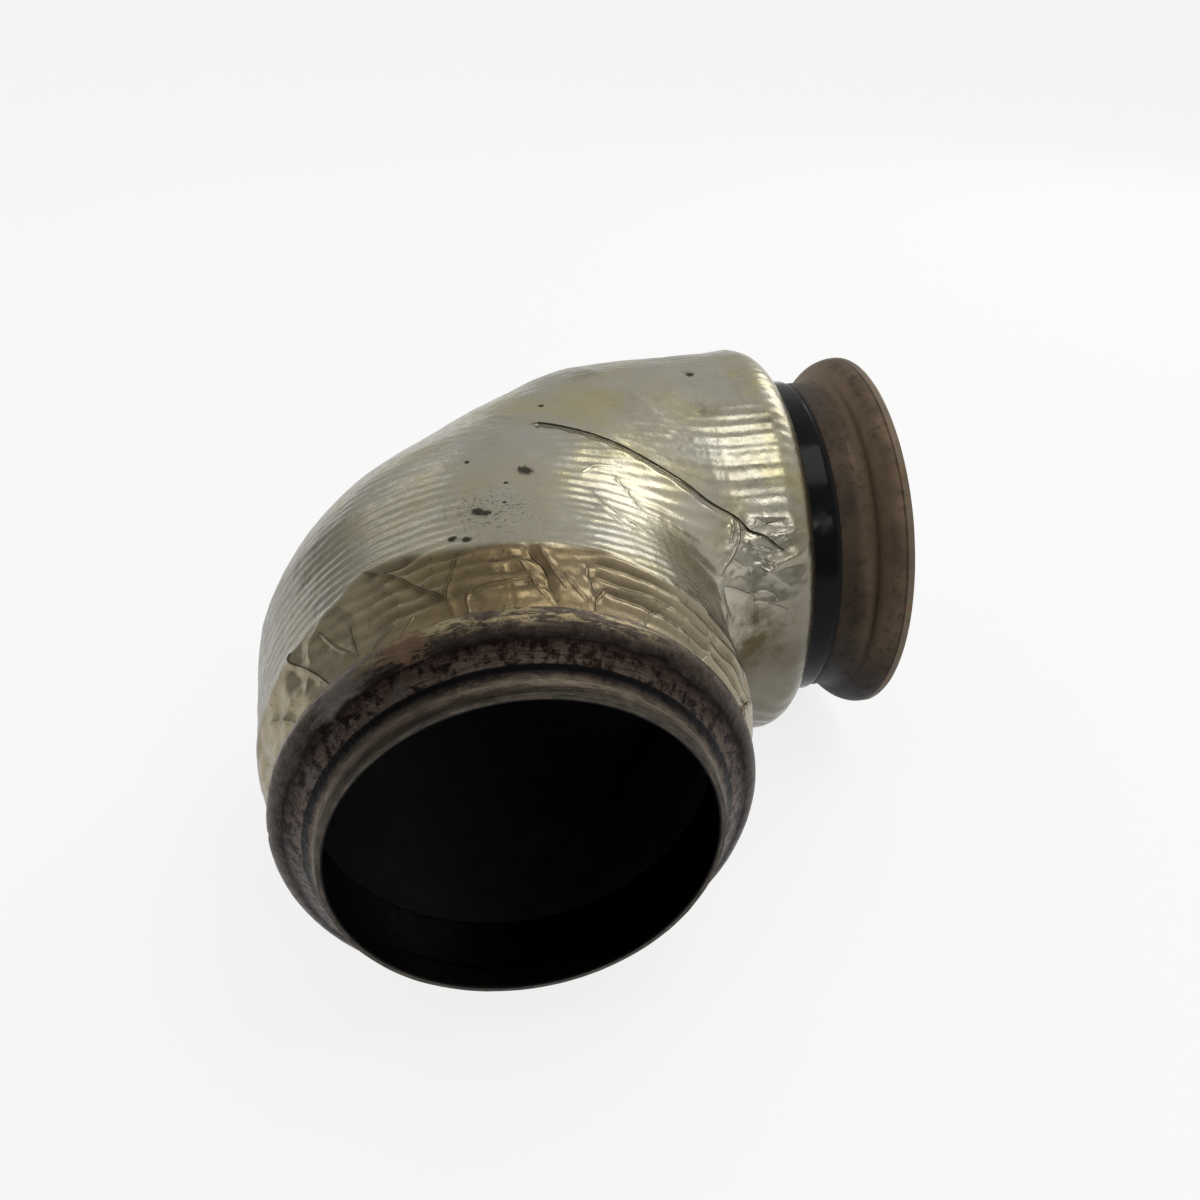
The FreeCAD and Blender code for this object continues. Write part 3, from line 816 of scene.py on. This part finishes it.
def on_outlet(radius, along, angle):
    return np.stack([along, OUTLET_AXIS_Y + radius * np.cos(angle), radius * np.sin(angle)], -1)


def add_inlet_ring():
    """The near flange: a lip round the mouth, a sloped seat and a round-edged rim."""
    shoulder = arc_points((67.6, 12.9), (RIM_R, 17.45), 7.0, 1)
    corners = [(MOUTH_R, 0), (58.7, 0), (58.7, 3.4), (59.0, 4.6),
               (60.1, 5.9), *shoulder, (RIM_R, 19.95), (TUBE_R, 23.35),
               (TUBE_R, 30.35), (61.85, 30.35), (61.85, 13), (58.4, 7), (MOUTH_R, 7)]
    outline = softened(corners, 0.45, 0.9)

    def wear(points, radius, along):
        shift = 0.10 * noise(points, 12, 61) + 0.05 * noise(points, 3.0, 64)
        on_seat = (along > 4.6) * (along < 13)
        groove = 0.05 * np.sin(along * 5.5 + 0.8 * noise(points, 20, 66)) * on_seat
        in_mouth = radius < 57.5
        pit = np.linalg.norm(points - np.array([-71.6, 17.0, 4.0]), axis=1)
        return np.where(in_mouth, 0, shift + groove - 0.12) - 0.7 * np.exp(-(pit / 1.2) ** 2)

    return turned("inlet_ring", outline, on_inlet, 520, wear)


def add_outlet_ring():
    """The far flange: a flare from the tube up to a rim with a flat face."""
    face = 154.0
    rim_back = 151.5
    full = arc_points((rim_back, RIM_R), (142.8, 66.9), 11.0, 1)
    hollow = arc_points((142.8, 66.9), (137.5, TUBE_R), 5.0, -1)
    profile = [(129.5, 61.2), (147.0, 61.2), (face, 69.5), (face, RIM_R), *full, *hollow[1:],
               (129.5, TUBE_R)]
    outline = softened([(r, x) for x, r in profile], 0.4, 0.9)

    def wear(points, radius, along):
        return 0.14 * noise(points, 14, 71) + 0.04 * noise(points, 3.0, 74) - 0.14

    return turned("outlet_ring", outline, on_outlet, 480, wear)


def add_band():
    corners = [(63.52, 115.8), (63.52, 127.8), (64.6, 127.8), (64.6, 115.8)]
    outline = softened(corners, 0.3, 1.2)
    return turned("clamp_band", outline, on_outlet, 420)


# Materials

# Dark spots: station, angle, size
SPOTS = ((18.0, 82.0, 2.3), (-8.9, 92.9, 1.9), (-10.2, 91.4, 1.5), (-21.7, 99.0, 1.2),
         (-23.4, 96.2, 1.3), (21.3, 95.5, 0.8), (-4.5, 87.0, 0.6), (8.0, 86.0, 0.7),
         (72.1, 92.9, 0.9), (134.4, 86.7, 1.4), (55.0, 86.0, 0.6))
DOTS_MIDDLE = (-9.0, 90.0)

# Brown stains: station, angle, size, share
STAINS = ((132.2, 70.1, 4.0, 0.55), (157.0, 63.3, 5.0, 0.65), (133.9, 88.0, 3.0, 0.55),
          (122.0, 2.0, 10.0, 0.9), (144.0, 3.0, 11.0, 0.95), (100.0, 98.0, 5.0, 0.4),
          (60.0, 100.0, 6.0, 0.4), (133.0, 10.0, 7.0, 0.8))


def foil_point(station, angle, bulged=False):
    """One place on the foil in mm."""
    station, angle = np.array([station]), np.array([angle])
    radius = nominal_radius(station, angle)
    if bulged:
        radius = radius + bulge(station, angle)
    return surface_point(station, angle, radius)[0]


def bare_foil(shader, place):
    """Silver to gold foil, with painted shade low down and on the outside of the bend, and a
    painted pale patch of light on the inner bend's flank.
    """
    broad = shader.noise(place, 0.030, 3.0, 0.6, 0.4)
    tone = shader.mix(shader.noise(place, 0.09, 2.0), rgb(0.325, 0.305, 0.235),
                      rgb(0.395, 0.37, 0.29))
    tone = shader.cover(tone, rgb(0.40, 0.355, 0.185), shader.remap(broad, 0.50, 0.66), 0.75)
    pale = shader.remap(shader.noise(place, 0.045, 2.0), 0.52, 0.7)
    tone = shader.cover(tone, rgb(0.40, 0.405, 0.385), pale, 0.35)
    parts = shader.parts(place)
    # Painted shade: darker low down and towards the outside of the bend, its strength varied by
    # noise, and left out near the inner bend's flank
    shade_low_left = shader.math("MAXIMUM", shader.remap(parts["Z"], 58.0, 0.0),
                        shader.remap(parts["X"], -30.0, -80.0))
    film = shader.remap(broad, 0.35, 0.6, 0.75, 0.98)
    beyond_lit_patch = shader.remap(shader.distance(place, (55.0, 86.0, 34.0)), 22.0, 52.0)
    tone = shader.cover(tone, rgb(0.13, 0.114, 0.088), shade_low_left, film, beyond_lit_patch)
    # Painted light: a paler tone near the inner bend's flank
    return shader.cover(tone, rgb(0.56, 0.52, 0.42), shader.remap(beyond_lit_patch, 0.0, 1.0, 0.5, 0.0))


def browned_foil(shader, place, tone, neck, sooty):
    """The foil's tone with the brown film and grime of the neck."""
    brown = shader.mix(sooty, rgb(0.245, 0.175, 0.082), rgb(0.12, 0.085, 0.042))
    side = shader.math("ABSOLUTE", shader.parts(place)["X"])
    brown = shader.cover(brown, rgb(0.37, 0.32, 0.22), shader.remap(side, 12.0, 55.0, 0.0, 0.85))
    tone = shader.cover(tone, rgb(0.27, 0.225, 0.12), shader.mark("tan"), 0.35)
    tone = shader.cover(tone, brown, neck, 0.85)
    # Painted shade in the valleys between the neck's ribs
    tone = shader.cover(tone, rgb(0.085, 0.066, 0.036), shader.mark("valley"), 0.8)
    grime = shader.remap(shader.noise(place, 0.55, 5.0, 0.7), 0.58, 0.72)
    return shader.cover(tone, rgb(0.08, 0.06, 0.035), grime,
                        shader.remap(neck, 0.0, 1.0, 0.2, 0.9))


def foil_spots(shader, place):
    """Share of the dark spots, with fine dots scattered near them."""
    dots = shader.remap(shader.noise(place, 0.85, 4.0, 0.75), 0.55, 0.60)
    near = shader.remap(shader.distance(place, foil_point(*DOTS_MIDDLE)), 20.0, 4.0)
    total = shader.times(dots, near, 0.8)
    ragged = shader.noise(place, 1.1, 4.0, 0.75)
    for station, angle, size in SPOTS:
        gap = shader.distance(place, foil_point(station, angle, bulged=True))
        gap = shader.math("ADD", gap, shader.times(ragged, size * 2.4))
        spot = shader.remap(gap, size * 2.0, size * 2.6, 1.0, 0.0)
        total = shader.math("MAXIMUM", total, spot)
    return total


def foil_stains(shader, place, sooty):
    """Share of the brown stains."""
    total = 0.0
    for station, angle, size, strongest in STAINS:
        gap = shader.distance(place, foil_point(station, angle))
        gap = shader.math("ADD", gap, shader.remap(sooty, 0.0, 1.0, 0.0, size * 1.6))
        stain = shader.remap(gap, size * 0.7, size * 1.9, strongest, 0.0)
        total = shader.math("MAXIMUM", total, stain)
    return total


def foil_material():
    shader = Shader("embossed_foil")
    place = shader.millimetres()
    neck = shader.mark("neck")
    sooty = shader.remap(shader.noise(place, 0.12, 4.0, 0.65), 0.35, 0.75)
    spots = foil_spots(shader, place)
    tone = browned_foil(shader, place, bare_foil(shader, place), neck, sooty)
    tone = shader.cover(tone, rgb(0.085, 0.066, 0.034), foil_stains(shader, place, sooty))
    tone = shader.cover(tone, rgb(0.026, 0.019, 0.011), spots, 0.95)
    # Painted shadow along the creases and the dart's edge
    tone = shader.cover(tone, rgb(0.018, 0.014, 0.008), shader.mark("crease"), 0.93)
    rough = shader.remap(shader.noise(place, 0.35, 4.0, 0.6), 0.3, 0.7, 0.21, 0.34)
    for share, extra in ((neck, 0.04), (spots, 0.3), (shader.mark("patch"), 0.02)):
        rough = shader.math("ADD", rough, shader.times(share, extra))
    fine = shader.bump(shader.noise(place, 1.4, 3.0, 0.6), 0.00003,
                       shader.remap(neck, 0.0, 1.0, 0.5, 1.0))
    soft = shader.bump(shader.noise(place, 0.22, 3.0, 0.5), 0.0005, 0.45, fine)
    return shader.finish(base_color=tone, metallic=1.0, roughness=rough, normal=soft)


def ring_coordinates(shader, axis_y, along_x, around=6.0):
    """Noise coordinates stretched round the axis, so that scratches run in circles."""
    place = shader.millimetres()
    x, y, z = shader.parts(place)
    side = shader.math("SUBTRACT", y, axis_y) if along_x else x
    depth = x if along_x else y
    squares = shader.math("ADD", shader.times(side, side), shader.times(z, z))
    radius = shader.math("SQRT", squares)
    stretched = shader.add("ShaderNodeCombineXYZ", {
        0: shader.times(shader.math("DIVIDE", side, radius), around),
        1: shader.times(shader.math("DIVIDE", z, radius), around),
        2: shader.math("ADD", radius, shader.times(depth, 0.83))}).outputs[0]
    return place, stretched, radius, depth


# Tones of the near flange by the share of its depth, from the mouth at 0 to 24 mm behind it at 1
INLET_DEPTH = 24.0
INLET_TONES = (
    (0.00, rgb(0.065, 0.056, 0.045)), (0.04, rgb(0.060, 0.050, 0.040)),
    # Painted light: the pale stops at 0.22 and 0.30 lift the shade in the hollow between the lip
    # and the seat
    (0.13, rgb(0.085, 0.068, 0.052)), (0.22, rgb(0.145, 0.117, 0.089)),
    (0.30, rgb(0.105, 0.080, 0.064)), (0.50, rgb(0.038, 0.026, 0.021)),
    (0.54, rgb(0.010, 0.008, 0.008)), (0.57, rgb(0.045, 0.036, 0.031)),
    (0.68, rgb(0.085, 0.067, 0.055)), (0.78, rgb(0.14, 0.112, 0.088)),
    (1.00, rgb(0.085, 0.067, 0.055)))


def worn_collar(shader, place, tone, wavy, collar, rings):
    """Scuffs, scratches, gold film and bare metal on the near flange's rim, and a painted highlight
    on its upper left.
    """
    around = shader.noise(ring_coordinates(shader, 0.0, False, 22.0)[1], 0.42, 5.0, 0.72, 0.6)

    def patch(tone, middle, raggedness, edge, core, colour, strength):
        """A ragged patch. edge and core are distances from its middle."""
        gap = shader.math("ADD", shader.distance(place, middle),
                          shader.remap(around, 0.3, 0.7, 0.0, raggedness))
        return shader.cover(tone, colour, shader.remap(gap, edge, core), collar, strength)

    scuffs = shader.remap(shader.noise(place, 0.38, 6.0, 0.75, 0.4), 0.38, 0.66, 0.45, 1.7)
    tone = shader.mix(shader.times(collar, 0.8), tone, shader.grey(scuffs), "MULTIPLY")
    tone = shader.cover(tone, rgb(0.21, 0.19, 0.165), shader.remap(rings, 0.60, 0.70), collar, 0.4)
    top = shader.times(shader.remap(shader.parts(place)["Z"], 52.0, 68.0),
                       shader.remap(wavy, 14.2, 16.2))
    tone = shader.cover(tone, rgb(0.44, 0.36, 0.20), shader.remap(around, 0.47, 0.55), top, 0.8)
    tone = patch(tone, (-27.0, 16.5, 65.5), 12.0, 12.5, 11.0, rgb(0.24, 0.155, 0.095), 0.75)
    cloud = shader.remap(shader.noise(place, 0.05, 4.0, 0.65), 0.45, 0.68)
    tone = shader.cover(tone, rgb(0.040, 0.028, 0.022), cloud, collar, 0.5)
    # Painted highlight: a pale grey patch on the collar's upper left
    return patch(tone, (-47.0, 15.5, 54.0), 10.0, 17.0, 9.0, rgb(0.34, 0.325, 0.31), 0.28)


def inlet_material():
    shader = Shader("heat_browned_steel")
    place, stretched, radius, depth = ring_coordinates(shader, 0.0, False)
    wavy = shader.math("ADD", depth, shader.remap(shader.noise(place, 0.12, 3.0), 0.3, 0.7,
                                                  -0.5, 0.5))
    seat = shader.times(shader.remap(wavy, 5.2, 7.2), shader.remap(wavy, 13.2, 12.4))
    collar = shader.remap(wavy, 12.8, 13.4)
    rings = shader.noise(stretched, 1.6, 4.0, 0.7)
    crust = shader.remap(shader.noise(place, 0.28, 5.0, 0.72), 0.46, 0.58)

    tone = shader.ramp(shader.remap(wavy, 0.0, INLET_DEPTH), INLET_TONES)
    mottle = shader.remap(shader.noise(place, 0.20, 5.0, 0.7), 0.40, 0.62, 1.1, 0.75)
    tone = shader.mix(shader.remap(wavy, 6.0, 4.0), tone, shader.grey(mottle), "MULTIPLY")
    streaks = shader.grey(shader.remap(rings, 0.30, 0.72, 0.45, 1.8))
    tone = shader.mix(shader.remap(collar, 0.0, 1.0, 1.0, 0.15), tone, streaks, "MULTIPLY")
    tone = shader.cover(tone, rgb(0.007, 0.004, 0.0035), crust, seat, 0.9)
    flake = shader.remap(shader.noise(place, 0.16, 5.0, 0.75, 0.5), 0.56, 0.60)
    left = shader.remap(shader.parts(place)["X"], 0.0, -45.0)
    tone = shader.cover(tone, rgb(0.095, 0.092, 0.088), flake, seat, left, 0.6)
    specks = shader.remap(shader.noise(place, 1.5, 3.0, 0.8), 0.70, 0.74)
    tone = shader.cover(tone, rgb(0.24, 0.235, 0.22), specks,
                        shader.remap(collar, 0.0, 1.0, 0.5, 0.15))
    tone = worn_collar(shader, place, tone, wavy, collar, rings)
    # Near black inside the mouth and behind the lip
    mouth = shader.remap(radius, 57.2, 56.9)
    behind = shader.times(shader.remap(radius, 62.6, 62.2), shader.remap(depth, 5.0, 7.1))
    tone = shader.cover(tone, rgb(0.007, 0.0065, 0.007), shader.math("MAXIMUM", mouth, behind))

    rough = shader.math("ADD", shader.remap(rings, 0.3, 0.7, 0.28, 0.42),
                        shader.times(crust, 0.12))
    lines = shader.bump(rings, 0.00022, shader.remap(collar, 0.0, 1.0, 0.9, 0.35))
    scale = shader.bump(crust, 0.00025, shader.times(seat, 0.6), lines)
    dents = shader.bump(shader.noise(place, 0.45, 4.0, 0.6), 0.0004, 0.5, scale)
    fine = shader.bump(shader.noise(place, 1.8, 4.0, 0.7), 0.00013, 0.7, dents)
    return shader.finish(base_color=tone, metallic=1.0, roughness=rough, normal=fine)


def outlet_material():
    shader = Shader("brown_satin_steel")
    place, stretched, _, depth = ring_coordinates(shader, OUTLET_AXIS_Y, True)
    rings = shader.noise(stretched, 0.9, 4.0, 0.65)
    cloud = shader.remap(shader.noise(place, 0.06, 4.0, 0.6), 0.35, 0.65)
    blotch = shader.remap(shader.noise(place, 0.22, 5.0, 0.7), 0.52, 0.68)
    tone = shader.mix(cloud, rgb(0.115, 0.083, 0.056), rgb(0.205, 0.149, 0.100))
    tone = shader.cover(tone, rgb(0.040, 0.029, 0.023), shader.remap(rings, 0.3, 0.75, 0.0, 0.12))
    tone = shader.cover(tone, rgb(0.050, 0.034, 0.026), blotch, 0.55)
    # Painted light: a paler band over the flare's bend, lifting its shade
    tone = shader.cover(tone, rgb(0.28, 0.205, 0.14), shader.remap(depth, 139.5, 142.0),
                        shader.remap(depth, 146.5, 143.5), 0.6)
    # Painted shade: darker at the flare's root beside the band
    root = shader.remap(depth, 141.5, 135.5)
    tone = shader.cover(tone, rgb(0.026, 0.02, 0.016), root, 0.7)
    # Painted shade: darker towards the bottom
    low = shader.remap(shader.parts(place)["Z"], 30.0, -35.0)
    tone = shader.cover(tone, rgb(0.010, 0.0075, 0.006), low, 0.96)
    # Painted shade: a dark line where the rim's land meets its back
    tone = shader.cover(tone, rgb(0.03, 0.022, 0.017), shader.remap(depth, 150.3, 151.0),
                        shader.remap(depth, 151.7, 151.2), 0.7)
    edge = shader.remap(depth, 151.2, 151.7)
    tone = shader.cover(tone, rgb(0.21, 0.17, 0.125), edge, 0.6)
    rust = shader.remap(shader.noise(place, 0.12, 5.0, 0.7), 0.56, 0.64)
    tone = shader.cover(tone, rgb(0.22, 0.105, 0.045), rust, edge, 0.7)
    rough = shader.remap(blotch, 0.0, 1.0, 0.55, 0.66)
    lines = shader.bump(rings, 0.00006, 0.2)
    fine = shader.bump(shader.noise(place, 1.5, 4.0, 0.7), 0.00008, 0.5, lines)
    return shader.finish(base_color=tone, metallic=0.9, roughness=rough, normal=fine,
                         specular_ior_level=0.3)


def band_material():
    shader = Shader("gloss_black_band")
    place = shader.millimetres()
    dust = shader.remap(shader.noise(place, 0.5, 4.0, 0.7), 0.5, 0.8)
    tone = shader.cover(rgb(0.003, 0.0032, 0.004), rgb(0.010, 0.0095, 0.009), dust, 0.5)
    rough = shader.remap(shader.noise(place, 0.2, 3.0), 0.3, 0.7, 0.10, 0.22)
    ripples = shader.bump(shader.noise(place, 0.08, 2.0), 0.0006, 0.4)
    return shader.finish(base_color=tone, roughness=rough, normal=ripples, specular_ior_level=0.1)


def near_black_bore_material():
    shader = Shader("near_black_tube")
    place = shader.millimetres()
    cloud = shader.noise(place, 0.08, 5.0, 0.65)
    tone = shader.mix(shader.remap(cloud, 0.35, 0.7), rgb(0.004, 0.0038, 0.004),
                      rgb(0.011, 0.009, 0.0085))
    rough = shader.remap(cloud, 0.3, 0.7, 0.5, 0.75)
    flakes = shader.bump(shader.noise(place, 0.9, 4.0, 0.7), 0.0002, 0.5)
    return shader.finish(base_color=tone, roughness=rough, normal=flakes,
                         specular_ior_level=0.15)


def fibre_material():
    shader = Shader("fibre_blanket")
    place = shader.millimetres()
    strands = shader.noise(place, 1.2, 5.0, 0.7, 1.5)
    tone = shader.mix(strands, rgb(0.20, 0.175, 0.13), rgb(0.42, 0.39, 0.32))
    fuzz = shader.bump(strands, 0.0008, 0.8)
    return shader.finish(base_color=tone, roughness=0.95, normal=fuzz)


def dress(thing, material, slot, *nodes):
    """Give a piece its material, attach it to the root body and hide the nodes it replaces. slot is
    not used.
    """
    thing.data.materials.clear()
    thing.data.materials.append(material)
    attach(thing, "root")
    if nodes:
        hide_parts(*nodes)


# The scene

scene = bpy.context.scene
scene.view_settings.view_transform = "Standard"
add_camera()
add_world()
for lamp in LAMPS:
    add_area_light(*lamp)
add_floor()

foil_look = foil_material()
dress(shell("foil_skin", foil_rows(), foil), foil_look, "foil", "foil_jacket")
dress(add_dart_fold(), foil_look, "foil")
dress(add_creases(), foil_look, "foil")
dress(add_blanket(), fibre_material(), "fibre", "insulation_mat")
dress(add_inlet_ring(), inlet_material(), "inlet_steel", "inlet_flange")
dress(add_outlet_ring(), outlet_material(), "outlet_steel", "outlet_flange")
dress(add_band(), band_material(), "band_black", "retaining_band")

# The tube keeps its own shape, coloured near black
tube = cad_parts["elbow_pipe"]
tube.data.materials.clear()
tube.data.materials.append(near_black_bore_material())
